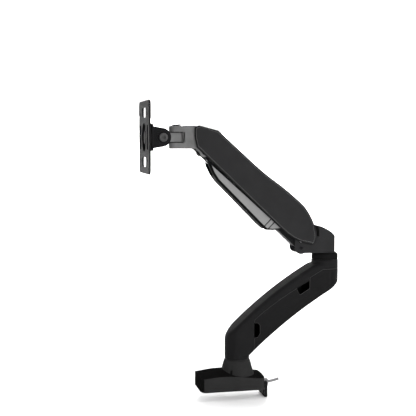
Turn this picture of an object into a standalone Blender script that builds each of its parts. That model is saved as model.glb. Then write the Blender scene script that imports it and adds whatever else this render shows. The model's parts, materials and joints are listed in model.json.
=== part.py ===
"""Monitor arm with a gas spring: a narrow desk base, a bowed lower arm that swivels on it, an elbow,
a parallelogram upper arm with a cable tray under it, and a head that pans, tilts and turns.

Units: the outlines and sizes below are in millimetres, and MM turns them into metres.
Frame: +Z is up, the desk is at Z = 0, and the base's swivel axis is X = Y = 0. The screen hangs on the -X side.
"""

import math

import bmesh
import bpy
from mathutils import Matrix, Vector

MM = 0.001

# Driving dimensions
ARM_LENGTH = 232.0  # pivot to pivot, upper arm
ARM_RISE = 44.0  # angle of the upper arm above level at rest, degrees
LINK_DROP = 25.0  # lower link's pivots hang this far under the upper ones
ELBOW_X = 154.5  # elbow swivel axis
LIFT_X, LIFT_Z = 107.0, 262.0  # rear upper pivot, on the elbow knuckle
PAN_REACH = 43.7  # front upper pivot to the pan axis
TILT_REACH = 23.6  # pan axis to the tilt axis
POST_R = 14.0
BARREL_R = 21.0  # lower arm's round end on the post
BOSS_R = 22.9  # lower arm's round end at the elbow
KNUCKLE_R = 17.2
VESA_SIDE = 118.0

# Half widths across the upper arm, from the middle outwards
LINK_Y = (10.4, 13.0)
CHEEK_Y = (13.4, 17.0)
CHANNEL_Y = (17.3, 19.6)
COVER_Y = (19.9, 22.3)

PAINT = {
    "charcoal_shell": ((0.030, 0.030, 0.032), 0.55, 0.0),
    "black_casting": ((0.012, 0.012, 0.013), 0.5, 0.0),
    "black_plastic": ((0.010, 0.010, 0.010), 0.6, 0.0),
    "grey_casting": ((0.16, 0.16, 0.16), 0.5, 0.1),
    "light_grey_plastic": ((0.30, 0.30, 0.30), 0.6, 0.0),
    "bare_steel": ((0.45, 0.45, 0.46), 0.35, 1.0),
    "black_steel": ((0.015, 0.015, 0.016), 0.4, 0.5),
    "nylon": ((0.60, 0.60, 0.57), 0.5, 0.0),
    "tie_nylon": ((0.35, 0.35, 0.35), 0.5, 0.0),
    "rubber": ((0.015, 0.015, 0.015), 0.9, 0.0),
}


# ---------------------------------------------------------------- outlines


def arc(cx, cz, r, start, end, steps):
    """Points on a circle from one angle to another, in degrees."""
    turns = [math.radians(start + (end - start) * i / steps) for i in range(steps + 1)]
    return [(cx + r * math.cos(a), cz + r * math.sin(a)) for a in turns]


def arc_through(first, middle, last, steps):
    """Points on the circle through three points, first to last."""
    (ax, ay), (bx, by), (cx, cy) = first, middle, last
    d = 2 * (ax * (by - cy) + bx * (cy - ay) + cx * (ay - by))
    a2, b2, c2 = ax * ax + ay * ay, bx * bx + by * by, cx * cx + cy * cy
    ux = (a2 * (by - cy) + b2 * (cy - ay) + c2 * (ay - by)) / d
    uy = (a2 * (cx - bx) + b2 * (ax - cx) + c2 * (bx - ax)) / d
    start = math.degrees(math.atan2(ay - uy, ax - ux))
    end = math.degrees(math.atan2(cy - uy, cx - ux))
    sweep = (end - start + 180) % 360 - 180
    return arc(ux, uy, math.hypot(ax - ux, ay - uy), start, start + sweep, steps)


def box_outline(x0, z0, x1, z1, r=0.0, steps=3):
    """A rectangle, with round corners if r is given."""
    if r <= 0:
        return [(x0, z0), (x1, z0), (x1, z1), (x0, z1)]
    return (
        arc(x0 + r, z0 + r, r, 180, 270, steps)
        + arc(x1 - r, z0 + r, r, 270, 360, steps)
        + arc(x1 - r, z1 - r, r, 0, 90, steps)
        + arc(x0 + r, z1 - r, r, 90, 180, steps)
    )


def capsule(x0, z0, r0, x1, z1, r1, steps=10):
    """The outline round two circles joined by their outer tangents."""
    along = math.degrees(math.atan2(z1 - z0, x1 - x0))
    lean = math.degrees(math.acos((r0 - r1) / math.hypot(x1 - x0, z1 - z0)))
    return arc(x0, z0, r0, along + lean, along + 360 - lean, steps) + arc(
        x1, z1, r1, along - lean, along + lean, steps
    )


# ---------------------------------------------------------------- modelling


def material(name):
    """The Principled material of that name, made once."""
    if name in bpy.data.materials:
        return bpy.data.materials[name]
    colour, roughness, metallic = PAINT[name]
    made = bpy.data.materials.new(name)
    made.use_nodes = True
    shader = made.node_tree.nodes["Principled BSDF"]
    shader.inputs["Base Color"].default_value = (*colour, 1.0)
    shader.inputs["Roughness"].default_value = roughness
    shader.inputs["Metallic"].default_value = metallic
    return made


def finish(bm, name, body, paint):
    """Turns a bmesh in millimetres, in its body's frame, into a named object. No paint means a hidden cutter."""
    bmesh.ops.recalc_face_normals(bm, faces=bm.faces)
    bm.transform(Matrix.Scale(MM, 4))
    mesh = bpy.data.meshes.new(name)
    bm.to_mesh(mesh)
    bm.free()
    obj = bpy.data.objects.new(name, mesh)
    bpy.context.scene.collection.objects.link(obj)
    obj.parent = body
    if paint:
        mesh.materials.append(material(paint))
        mesh.shade_smooth()
        mesh.set_sharp_from_angle(angle=math.radians(30))
    else:
        obj.hide_render = True
        obj.display_type = "WIRE"
    return obj


PLANES = {
    "xz": lambda a, b, c: (a, c, b),
    "xy": lambda a, b, c: (a, b, c),
    "yz": lambda a, b, c: (c, a, b),
}


def prism(name, outline, low, high, plane="xz", paint=None, body=None, rim=0.0, segments=2):
    """An outline in one plane, extruded across it from low to high; rim rounds the edges of both ends."""
    place = PLANES[plane]
    outline = [a for a, b in zip(outline, outline[1:] + outline[:1]) if math.dist(a, b) > 0.01]
    bm = bmesh.new()
    first = bm.faces.new([bm.verts.new(place(a, b, low)) for a, b in outline])
    made = bmesh.ops.extrude_face_region(bm, geom=[first])
    moved = [v for v in made["geom"] if isinstance(v, bmesh.types.BMVert)]
    bmesh.ops.translate(bm, verts=moved, vec=Vector(place(0, 0, high - low)))
    if rim > 0:
        caps = [f for f in bm.faces if len(f.verts) == len(outline) and f.calc_area() > 0]
        caps = sorted(caps, key=lambda f: -f.calc_area())[:2]
        edges = list({e for f in caps for e in f.edges})
        bmesh.ops.bevel(
            bm, geom=edges, offset=rim, segments=segments, profile=0.5, affect="EDGES", clamp_overlap=False
        )
    return finish(bm, name, body, paint)


AXES = {
    "z": Matrix.Identity(4),
    "y": Matrix.Rotation(math.radians(-90), 4, "X"),
    "x": Matrix.Rotation(math.radians(90), 4, "Y"),
}


def turned(name, profile, centre=(0, 0, 0), axis="z", paint=None, body=None, steps=32):
    """A closed profile of (radius, height) points spun about an axis through centre."""
    bm = bmesh.new()
    ring = [bm.verts.new((r, 0, h)) for r, h in profile]
    sides = [(a, b) for a, b in zip(ring, ring[1:] + ring[:1]) if a.co.x > 0 or b.co.x > 0]
    edges = [bm.edges.new(side) for side in sides]
    bmesh.ops.spin(
        bm, geom=ring + edges, axis=(0, 0, 1), cent=(0, 0, 0), angle=math.tau, steps=steps, use_merge=True
    )
    bmesh.ops.remove_doubles(bm, verts=bm.verts, dist=0.001)
    bmesh.ops.dissolve_degenerate(bm, edges=bm.edges, dist=0.0005)
    bm.transform(Matrix.Translation(centre) @ AXES[axis])
    return finish(bm, name, body, paint)


def rod(name, r, low, high, centre=(0, 0, 0), axis="z", paint=None, body=None, steps=32, edge=0.0):
    """A solid cylinder from low to high along an axis, its ends chamfered by edge."""
    profile = [(0, low), (r - edge, low), (r, low + edge), (r, high - edge), (r - edge, high), (0, high)]
    if not edge:
        profile = [(0, low), (r, low), (r, high), (0, high)]
    return turned(name, profile, centre, axis, paint, body, steps)


def ring(name, inner, outer, low, high, centre=(0, 0, 0), axis="z", paint=None, body=None, steps=32):
    """A washer or tube."""
    profile = [(inner, low), (outer, low), (outer, high), (inner, high)]
    return turned(name, profile, centre, axis, paint, body, steps)


def hex_nut(name, bore, r, low, high, centre=(0, 0, 0), axis="z", paint="bare_steel", body=None):
    """A hexagon nut with a round hole."""
    nut = rod(name, r, low, high, centre, axis, paint, body, 6)
    return cut(nut, rod(name + "_bore", bore, low - 1, high + 1, centre, axis, None, body, 24))


def combine(target, operation, *others):
    """Adds live Booleans to target."""
    for other in others:
        modifier = target.modifiers.new(other.name, "BOOLEAN")
        modifier.operation = operation
        modifier.object = other
        modifier.solver = "EXACT"
    return target


def cut(target, *cutters):
    return combine(target, "DIFFERENCE", *cutters)


def join(target, *others):
    return combine(target, "UNION", *others)


def keep_inside(target, *others):
    return combine(target, "INTERSECT", *others)


def frame_at(name, x, y, z, lean=0.0):
    """An empty on a joint's axis, leaned about Y for the upper arm's pieces."""
    made = bpy.data.objects.new(name, None)
    made.location = (x * MM, y * MM, z * MM)
    made.rotation_euler = (0, math.radians(lean), 0)
    bpy.context.scene.collection.objects.link(made)
    return made


def socket_screw(name, head_r, head_h, shank_r, length, centre, axis, paint, body, flip=False):
    """A cap screw: its head stands on the seat at centre and its shank goes the other way; it has a hex socket."""
    sign = -1 if flip else 1
    profile = [
        (0, -length * sign),
        (shank_r, -length * sign),
        (shank_r, 0),
        (head_r, 0),
        (head_r, (head_h - 0.5) * sign),
        (head_r - 0.5, head_h * sign),
        (0, head_h * sign),
    ]
    screw = turned(name, profile, centre, axis, paint, body, 24)
    depth = sorted((head_h * 0.4 * sign, (head_h + 1) * sign))
    key = rod(name + "_socket", head_r * 0.5, depth[0], depth[1], centre, axis, None, body, 6)
    return cut(screw, key)


# ---------------------------------------------------------------- base

BASE_BOTTOM = 2.2
BASE_FRONT, BASE_REAR = -68.0, 42.0
BASE_HALF = 30.0
COVER_WALL = 2.4
SEAM_Z = 50.0  # where the lower arm meets the collar
FLANGE_X = (44.2, 48.4)
FLANGE_DROP = 15.0
PLATE_Z = (2.3, 7.3)
TIE_Y = (-14.6, -11.0)


def make_desk_pad(body):
    pad = prism("desk_pad", box_outline(-65, -26, 40, 26, 6), 0, PLATE_Z[0] - 0.3, "xy", "rubber", body)
    for i, x in enumerate((-42, 24)):
        cut(pad, rod(f"pad_hole_{i}", 5, -5, 8, (x, 0, 0), paint=None, body=body, steps=20))
    return pad


def make_base_plate(body):
    """A bent steel plate: flat under the cover, with an upright flange that hangs over the desk's edge."""
    plate = prism(
        "base_plate", box_outline(-64, -22, FLANGE_X[1] - 1, 22, 6), *PLATE_Z, "xy", "black_steel", body
    )
    upright = box_outline(-20, -FLANGE_DROP, 20, 11.5, 3)
    join(plate, prism("flange", upright, *FLANGE_X, "yz", None, body))
    cut(plate, rod("post_bolt_hole", 5.4, 0, 12, body=body, steps=24))
    cut(plate, turned("post_bolt_sink", [(0, 0), (10.2, 0), (10.2, 3.7), (5.4, 6.0), (0, 6.0)], body=body))
    for i, x in enumerate((-42, 24)):
        cut(plate, rod(f"desk_bolt_hole_{i}", 4.2, 0, 12, (x, 0, 0), body=body, steps=20))
    for i, y in enumerate((-12, 12)):
        slot = box_outline(y - 3.2, -11.5, y + 3.2, -2.5, 3.1, 4)
        cut(plate, prism(f"clamp_slot_{i}", slot, 40, 52, "yz", None, body))
    tie_slot = box_outline(TIE_Y[0] - 0.6, 2.6, TIE_Y[1] + 0.6, 7.4)
    return cut(plate, prism("tie_slot", tie_slot, 41.8, 52, "yz", None, body))


def make_cable_tie(body):
    """A cable tie looped through the flange's slot and over its top, with its head and a long tail."""
    loop = prism("cable_tie", box_outline(42.5, 3.0, 50.2, 13.2, 1.2, 3), *TIE_Y, "xz", "tie_nylon", body)
    cut(loop, prism("tie_room", box_outline(43.8, 4.3, 48.9, 12.0, 0.6, 2), -20, 20, "xz", None, body))
    head = prism("tie_head", box_outline(49.4, 9.2, 53.4, 13.6, 0.6, 2), TIE_Y[0] - 0.5, TIE_Y[1] + 0.5, "xz",
                 None, body)
    tail = [(52, 10.8), (63, 12.2), (74.5, 14.3), (74.3, 15.5), (63, 13.4), (52, 12.0)]
    return join(loop, head, prism("tie_tail", tail, *TIE_Y, "xz", None, body))


def crown_z(x, y, inset=0.0):
    """Height of the base cover's crowned top: it swells towards the post and falls off to both sides."""
    swell = math.cos(math.pi * (x + 28) / 150) ** 2
    side = 1 - (y / BASE_HALF) ** 2
    return 20.6 + 6.2 * swell + 6.5 * side * (0.35 + 0.65 * swell) - inset


def domed_block(name, x0, x1, half, low, inset, paint, body, nx=14, ny=8):
    """A block with straight sides, round plan corners and a crowned top."""
    bm = bmesh.new()
    grid = []
    for i in range(nx + 1):
        along = i / nx
        x = x0 + (x1 - x0) * (0.5 - 0.5 * math.cos(math.pi * along))
        end = min(x - x0, x1 - x)
        r = 7.0
        width = half - (r - math.sqrt(max(r * r - (r - end) ** 2, 0.0)) if end < r else 0.0)
        grid.append([(x, -width + 2 * width * j / ny) for j in range(ny + 1)])
    top = [[bm.verts.new((x, y, crown_z(x, y, inset))) for x, y in row] for row in grid]
    base = [[bm.verts.new((x, y, low)) for x, y in row] for row in grid]
    for i in range(nx):
        for j in range(ny):
            bm.faces.new((top[i][j], top[i + 1][j], top[i + 1][j + 1], top[i][j + 1]))
            bm.faces.new((base[i][j], base[i][j + 1], base[i + 1][j + 1], base[i + 1][j]))
        bm.faces.new((base[i][0], base[i + 1][0], top[i + 1][0], top[i][0]))
        bm.faces.new((base[i + 1][ny], base[i][ny], top[i][ny], top[i + 1][ny]))
    for j in range(ny):
        bm.faces.new((base[0][j + 1], base[0][j], top[0][j], top[0][j + 1]))
        bm.faces.new((base[nx][j], base[nx][j + 1], top[nx][j + 1], top[nx][j]))
    return finish(bm, name, body, paint)


def make_base_cover(body):
    """A moulded cover with a flared collar round the post."""
    cover = domed_block("base_cover", BASE_FRONT, BASE_REAR, BASE_HALF, BASE_BOTTOM, 0, "black_plastic", body)
    flare = [(29.2, 23), (28.4, 27), (27.0, 30.8), (25.6, 34.8), (24.6, 38.9), (23.3, 43.7)]
    flare += [(BARREL_R + 0.6, SEAM_Z - 1.2), (BARREL_R, SEAM_Z - 0.6), (0, SEAM_Z - 0.6), (0, 23)]
    join(cover, turned("collar", flare, body=body, steps=48))
    hollow = domed_block(
        "cover_hollow",
        BASE_FRONT + COVER_WALL,
        BASE_REAR - COVER_WALL,
        BASE_HALF - COVER_WALL,
        BASE_BOTTOM - 3,
        COVER_WALL,
        None,
        body,
    )
    throat = [(0, 15), (21.6, 15), (21.4, 30), (19.4, 42), (17.4, 46), (17.4, 60), (0, 60)]
    exit_slot = prism("plate_exit", box_outline(-22.4, -5, 22.4, PLATE_Z[1] + 0.4), 34, 50, "yz", None, body)
    return cut(cover, hollow, turned("throat", throat, body=body), exit_slot)


def make_post(body):
    """A turned steel post with a foot flange, tapped from below and above."""
    profile = [(0, 7.6), (17.0, 7.6), (17.0, 12.6), (POST_R, 13.6), (POST_R, 81), (POST_R - 1, 82), (0, 82)]
    post = turned("post", profile, paint="bare_steel", body=body)
    cut(post, rod("post_tap_low", 5.3, 5, 32, body=body, steps=20))
    cut(post, rod("post_tap_high", 4.3, 66, 90, body=body, steps=20))
    sunk = [(0, 3.0), (9.6, 3.0), (9.6, 3.4), (5.0, 5.3), (5.0, 28), (0, 28)]
    bolt = turned("post_bolt", sunk, paint="bare_steel", body=body, steps=24)
    cut(bolt, rod("post_bolt_socket", 3.2, 1, 5.4, body=body, steps=6))


def make_base_bush(body):
    """A flanged nylon bush that the lower arm turns on."""
    profile = [
        (POST_R + 0.3, SEAM_Z - 0.3),
        (BARREL_R - 0.8, SEAM_Z - 0.3),
        (BARREL_R - 0.8, SEAM_Z + 0.9),
        (16.6, SEAM_Z + 0.9),
        (16.6, 80),
        (POST_R + 0.3, 80),
    ]
    turned("base_bush", profile, paint="nylon", body=body)


# ---------------------------------------------------------------- lower arm

ARM_TOP = ((-19.5, 92.5), (54.0, 157.4), (131.6, 208.6))
ARM_BOTTOM = ((21.0, 61.0), (82.0, 112.7), (160.0, 164.6))
PARTING = ((24.7, 118.9), (70.0, 152.6), (120.8, 181.8))
PARTING_STEP = [(121.2, 187.6), (144.2, 200.9), (190.0, 200.9)]
BOSS_TOP = 215.6
ARM_ROUND = 7.0
ARM_WALL = 2.6


def height_on(points):
    """The height at any X of the circle through three (x, z) points."""
    (ax, ay), (bx, by), (cx, cy) = points
    d = 2 * (ax * (by - cy) + bx * (cy - ay) + cx * (ay - by))
    a2, b2, c2 = ax * ax + ay * ay, bx * bx + by * by, cx * cx + cy * cy
    ux = (a2 * (by - cy) + b2 * (cy - ay) + c2 * (ay - by)) / d
    uy = (a2 * (cx - bx) + b2 * (ax - cx) + c2 * (bx - ax)) / d
    r = math.hypot(ax - ux, ay - uy)
    side = 1 if by > uy else -1
    return lambda x: uy + side * math.sqrt(r * r - (x - ux) ** 2)


def arm_low(x):
    return max(height_on(ARM_BOTTOM)(x), SEAM_Z + 1.6)


def arm_high(x):
    return min(height_on(ARM_TOP)(x), 210.0)


def half_plan(inset=0.0):
    """The +Y half of the lower arm's plan, from the elbow's end to the post's, at a given inset."""
    elbow = [(ELBOW_X + x, y) for x, y in arc(0, 0, BOSS_R - inset, 0, 90, 8)]
    post = arc(0, 0, BARREL_R - inset, 90, 180, 8)
    (x0, y0), (x1, y1) = elbow[-1], post[0]
    side = [(x0 + (x1 - x0) * i / 12, y0 + (y1 - y0) * i / 12) for i in range(1, 12)]
    return elbow + side + post


def slab(name, inset, low, high, rim, paint, body, steps=3):
    """The lower arm's plan at an inset, between two heights that follow X, with its edges rounded by rim."""
    turns = [math.radians(90 * k / steps) for k in range(steps + 1)]
    levels = [(rim * (1 - math.sin(a)), lambda x, a=a: low(x) + rim * (1 - math.cos(a))) for a in turns]
    levels += [(rim * (1 - math.cos(a)), lambda x, a=a: high(x) - rim * (1 - math.sin(a))) for a in turns]
    bm = bmesh.new()
    rings = []
    for shrink, height in levels:
        half = half_plan(inset + shrink)
        outline = half + [(x, -y) for x, y in half[-2:0:-1]]
        rings.append([bm.verts.new((x, y, height(x))) for x, y in outline])
    count = len(rings[0])
    for lower, upper in zip(rings, rings[1:]):
        for i in range(count):
            j = (i + 1) % count
            bm.faces.new((lower[i], lower[j], upper[j], upper[i]))
    for ring_of in (rings[0], rings[-1]):
        for i in range(count // 2):
            corners = [ring_of[i], ring_of[i + 1], ring_of[(-i - 1) % count], ring_of[-i % count]]
            bm.faces.new(list(dict.fromkeys(corners)))
    return finish(bm, name, body, paint)


def arm_blank(name, paint, body):
    """Casting and cable cover in one, before they are parted."""
    blank = slab(name, 0, arm_low, arm_high, ARM_ROUND, paint, body)
    boss = rod(name + "_boss", BOSS_R - 0.1, 192, BOSS_TOP, (ELBOW_X, 0, 0), body=body, edge=0.6)
    return join(blank, boss)


def make_lower_arm(body):
    """An aluminium casting, open below for the cables, with a round barrel on the post."""
    casting = arm_blank("lower_arm_casting", "black_casting", body)
    join(casting, rod("arm_barrel", BARREL_R - 0.1, SEAM_Z + 1.2, 84, body=body, edge=0.5))
    line = arc_through(*PARTING, 10)
    above = line + PARTING_STEP + [(190, 260), (-40, 260), (-40, 30), (24.7, 30)]
    keep_inside(casting, prism("above_parting", above, -30, 30, "xz", None, body))
    ceiling = [(x, height_on(ARM_TOP)(x) - 6.5) for x in (24, 42, 60, 78, 96, 114, 131)]
    trough = ceiling + [(131, 120), (24, 60)]
    cut(casting, prism("casting_trough", trough, -17.4, 17.4, "xz", None, body))
    cut(casting, rod("barrel_bore", 16.9, 40, 82.4, body=body))
    cut(casting, rod("retainer_room", 12.8, 82, 87.2, body=body, steps=24))
    cut(casting, rod("boss_bore", 11.3, 185, BOSS_TOP - 4.6, (ELBOW_X, 0, 0), body=body))
    cut(casting, rod("boss_bore_top", 9.3, 185, 240, (ELBOW_X, 0, 0), body=body))
    return casting


def make_cable_cover(body):
    """The clip-on cover under the lower arm, round at the elbow, with a catch window and a side mouth."""
    cover = arm_blank("lower_cable_cover", "black_plastic", body)
    line = [(x, z - 0.35) for x, z in arc_through(*PARTING, 10) + PARTING_STEP]
    region = [(25.1, line[0][1])] + line[1:] + [(190, 140), (60, 40), (25.1, 40)]
    keep_inside(cover, prism("below_parting", region, -30, 30, "xz", None, body))
    core = slab(
        "cover_core", ARM_WALL, lambda x: arm_low(x) + ARM_WALL, lambda x: arm_low(x) + 80, 5.0, None, body
    )
    cut(cover, core)
    cut(cover, prism("end_mouth", [(15, 72), (27, 92), (27, 130), (15, 130)], -15, 15, "xz", None, body))
    window = [(98.6, 167.9), (101.8, 161.6), (104.4, 158.6), (120.6, 168.6), (120.9, 184), (98.6, 172)]
    cut(cover, prism("window", window, -40, -10, "xz", None, body))
    mouth = [(14, 86), (30.5, 89), (34.5, 95), (34.5, 109), (31, 113), (14, 113)]
    cut(cover, prism("side_mouth", mouth, -40, -12, "xz", None, body))
    return cut(cover, prism("elbow_mouth", box_outline(138, 183, 160, 230, 4), 10, 40, "xz", None, body))


def make_post_retainer(body):
    profile = [(4.6, 82.7), (12.3, 82.7), (12.3, 84.3), (4.6, 84.3)]
    turned("post_retainer", profile, paint="bare_steel", body=body, steps=24)
    profile = [(0, 67.5), (4.0, 67.5), (4.0, 84.6), (7.4, 84.6), (7.4, 86.2), (6.9, 86.8), (0, 86.8)]
    turned("retainer_screw", profile, paint="bare_steel", body=body, steps=24)


def make_elbow_post(body):
    """The steel pin of the elbow, pressed up into the casting's boss from below and locked by a nut."""
    profile = [
        (0, BOSS_TOP - 9.5),
        (10.9, BOSS_TOP - 9.5),
        (10.9, BOSS_TOP - 5.0),
        (8.9, BOSS_TOP - 5.0),
        (8.9, 246.0),
        (7.9, 247.0),
        (0, 247.0),
    ]
    turned("elbow_post", profile, (ELBOW_X, 0, 0), paint="bare_steel", body=body)


def make_elbow_ring(body):
    """The dark friction collar between the two arms."""
    low, high = BOSS_TOP + 0.4, 227.4
    profile = [(9.4, low), (BOSS_R - 0.5, low), (BOSS_R - 0.5, high - 3), (BOSS_R - 3.5, high), (9.4, high)]
    turned("elbow_ring", profile, (ELBOW_X, 0, 0), paint="black_plastic", body=body, steps=40)


# ---------------------------------------------------------------- elbow knuckle

KNUCKLE_LOW = 228.0
PIN_R = 4.0
LINK_PIN_R = 3.5


def make_knuckle(body):
    """The casting on the elbow post. Its frame's origin is on the elbow axis at the desk's height.
    Two cheeks reach forward between the upper arm's walls and carry the lift pins."""
    px, pz = LIFT_X - ELBOW_X, LIFT_Z
    crown = arc_through((px + 32, pz + 12), (1.5, 266.2), (15.6, 255.0), 8)
    front = arc(px, pz, 31.8, -47, 21, 8)
    side = [(-30, KNUCKLE_LOW)] + front + crown + [(KNUCKLE_R + 1, 250), (KNUCKLE_R + 1, KNUCKLE_LOW)]
    casting = prism("elbow_knuckle", side, -KNUCKLE_R - 1, KNUCKLE_R + 1, "xz", "black_casting", body)
    plan = capsule(-40, 0, CHEEK_Y[1] - 0.01, 0, 0, KNUCKLE_R, 14)
    keep_inside(casting, prism("knuckle_plan", plan, 200, 300, "xy", None, body))
    lobe = capsule(px, pz, 11.0, px, pz - LINK_DROP, 10.6, 8)
    web = [(px, pz + 11), (px + 14, pz + 8), (px + 24, pz - 5.5), (px + 33, pz - 6.5)]
    web += [(px + 33, KNUCKLE_LOW), (px, pz - LINK_DROP - 9)]
    for side_name, sign in (("near", -1), ("far", 1)):
        low, high = sorted((CHEEK_Y[0] * sign, CHEEK_Y[1] * sign))
        cheek = prism(f"cheek_{side_name}", lobe, low, high, "xz", None, body)
        join(cheek, prism(f"cheek_web_{side_name}", web, low, high, "xz", None, body))
        join(casting, cheek)
    cut(casting, rod("lift_hole", PIN_R + 0.02, -30, 30, (px, 0, pz), "y", body=body, steps=24))
    cut(casting, rod("link_hole", LINK_PIN_R + 0.02, -30, 30, (px, 0, pz - LINK_DROP), "y", body=body, steps=24))
    cut(casting, rod("roller_hole", 3.0, -30, 30, (px, 0, pz - LINK_DROP / 2), "y", body=body, steps=20))
    cut(casting, rod("knuckle_bore", 11.6, 200, 249.0, body=body, steps=32))
    return casting


def make_knuckle_hardware(body):
    px, pz = LIFT_X - ELBOW_X, LIFT_Z
    ring("elbow_bush", 9.2, 11.3, KNUCKLE_LOW + 0.3, 245, paint="nylon", body=body)
    reach = CHANNEL_Y[1] - 0.2
    rod("lift_pin", PIN_R - 0.3, -reach, reach, (px, 0, pz), "y", "bare_steel", body, 24, 0.4)
    reach = CHEEK_Y[1] - 0.2
    rod("link_pin_rear", LINK_PIN_R - 0.3, -reach, reach, (px, 0, pz - LINK_DROP), "y", "bare_steel", body, 24, 0.4)
    anchor = (px, 0, pz - LINK_DROP / 2)
    rod("anchor_pin", 2.7, -reach, reach, anchor, "y", "bare_steel", body, 20, 0.3)
    ring("anchor_roller", 3.0, 4.8, -9, 9, anchor, "y", "bare_steel", body, 24)


# ---------------------------------------------------------------- upper arm
# Its frame: the origin is on the rear pivot, -X runs along the arm to the front pivot, and +Z is its upper side.


def local(s, t):
    """A point s along the arm from the rear pivot, and t above the pivot line."""
    return (-s, t)


BACK = [
    (local(150, 26.2), local(124, 27.4), local(97, 30.4)),
    (local(97, 30.4), local(64, 34.3), local(31, 35.7)),
    (local(31, 35.7), local(8, 30.9), local(-12.5, 21.4)),
    (local(-12.5, 21.4), local(-24.6, 11.4), local(-28.0, 2.0)),
    (local(-26.6, -1.4), local(0, -14.5), local(32, -19.0)),
]


def cover_outline(inset=0.0):
    """Side view of the upper arm's shell, as a run of arcs, each moved in towards the arm's middle."""
    nose = [local(ARM_LENGTH - 1.6, -20.8 + inset), local(ARM_LENGTH + 13 - inset, -10.4)]
    nose += [local(ARM_LENGTH + 23 - inset, 0), local(ARM_LENGTH + 22.5 - inset, 3.0)]
    nose += [local(ARM_LENGTH + 19.7 - inset, 7.9), local(ARM_LENGTH - 8.6 - inset * 0.4, 23.8 - inset)]
    outline = nose
    for points in BACK[:4]:
        outline += [(x - inset * (x > 12), z - inset) for x, z in arc_through(*points, 5)]
    return outline + [(x - inset * (x > 12), z + inset) for x, z in arc_through(*BACK[4], 5)]


def make_upper_cover(body):
    """The painted shell over the upper arm: two side walls and a top that stops short of the head."""
    half = COVER_Y[1]
    shell = prism("upper_cover", cover_outline(), -half, half, "xz", "charcoal_shell", body, 1.8, 2)
    open_from = ARM_LENGTH - 8  # the top stops here, and leaves room for the head
    inner = [local(275, -60), local(275, 60), local(open_from, 60), local(open_from, 21.0)]
    inner += [local(150, 23.8), local(120, 25.0)]
    inner += [local(97, 28.0), local(62, 31.8), local(31, 33.2), local(18, 31.6), local(4, 26.2)]
    inner += [local(-9, 17.0), local(-60, 17.0), local(-60, -60)]
    return cut(shell, prism("cover_room", inner, -COVER_Y[0], COVER_Y[0], "xz", None, body))


def make_cover_panels(body):
    """A thin raised panel on each side of the shell, inset from its edges."""
    for name, sign in (("near", -1), ("far", 1)):
        low, high = sorted(((COVER_Y[1] + 0.3) * sign, (COVER_Y[1] + 1.1) * sign))
        prism(f"cover_panel_{name}", cover_outline(2.8), low, high, "xz", "charcoal_shell", body)


def make_channel(body):
    """The steel channel that is the upper link: an upside-down U with a pin hole at each end."""
    outline = arc(-ARM_LENGTH, 0, 10.5, 90, 270, 10) + [(-ARM_LENGTH + 12, -15.6), (-20, -15.6)]
    outline += arc(0, 0, 10.5, -90, 90, 10) + [(-14, 19.4), (-ARM_LENGTH + 20, 19.4)]
    channel = prism("upper_channel", outline, -CHANNEL_Y[1], CHANNEL_Y[1], "xz", "bare_steel", body)
    room = box_outline(-ARM_LENGTH - 40, -60, 40, 17.0)
    cut(channel, prism("channel_room", room, -CHANNEL_Y[0], CHANNEL_Y[0], "xz", None, body))
    for i, x in enumerate((0, -ARM_LENGTH)):
        mouth = box_outline(x - 21, 5, x + 22, 40)
        cut(channel, prism(f"channel_mouth_{i}", mouth, -CHANNEL_Y[0], CHANNEL_Y[0], "xz", None, body))
        cut(channel, rod(f"channel_pin_hole_{i}", PIN_R, -30, 30, (x, 0, 0), "y", body=body, steps=24))
    cut(channel, rod("spring_pin_hole", 3.3, -30, 30, (-SPRING_PIN, 0, SPRING_T), "y", body=body, steps=20))
    return channel


SPRING_T = -9.8
SPRING_PIN = 200.0
CYLINDER_R = 8.5


def make_gas_spring(body):
    """The gas spring's cylinder, eyed at the front, its chamber open to the rod's hole."""
    profile = [
        (4.4, -42),
        (CYLINDER_R - 1, -42),
        (CYLINDER_R, -43),
        (CYLINDER_R, -187),
        (CYLINDER_R - 1, -188),
        (0, -188),
        (0, -182),
        (7.4, -182),
        (7.4, -47),
        (4.4, -47),
    ]
    cylinder = turned("gas_cylinder", profile, (0, 0, SPRING_T), "x", "black_steel", body)
    eye = rod("cylinder_eye", 7, -5, 5, (-SPRING_PIN, 0, SPRING_T), "y", body=body, steps=24)
    neck = rod("cylinder_neck", 5, -SPRING_PIN + 2, -186, (0, 0, SPRING_T), "x", body=body, steps=20)
    join(cylinder, neck, eye)
    cut(cylinder, rod("eye_hole", 3.3, -20, 20, (-SPRING_PIN, 0, SPRING_T), "y", body=body, steps=20))
    reach = CHANNEL_Y[1] - 0.2
    rod("spring_pin", 3.0, -reach, reach, (-SPRING_PIN, 0, SPRING_T), "y", "bare_steel", body, 20, 0.3)


def make_spring_rod(body):
    """The rod, with its piston inside the cylinder and a flat head that pushes on the knuckle's roller."""
    lift = math.radians(ARM_RISE)
    head = LINK_DROP / 2 * math.sin(lift) - 4.8 - 0.7
    profile = [
        (0, head),
        (5.3, head),
        (5.3, head - 6),
        (4.0, head - 7),
        (4.0, -74),
        (7.0, -74),
        (7.0, -82),
        (0, -82),
    ]
    turned("spring_rod", profile, (0, 0, SPRING_T), "x", "bare_steel", body, 24)


# ---------------------------------------------------------------- lower link and cable tray
# Its frame: the origin is on the link's rear pivot, and the axes lie as the upper arm's do.

TRAY_FRONT, TRAY_REAR = -217.0, -46.4
TRAY_TOP = (-5.7, 0.6)  # height of the rim at the front and at the rear tip
TRAY_HALF = 17.0
TRAY_SKIN = 1.6


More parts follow.
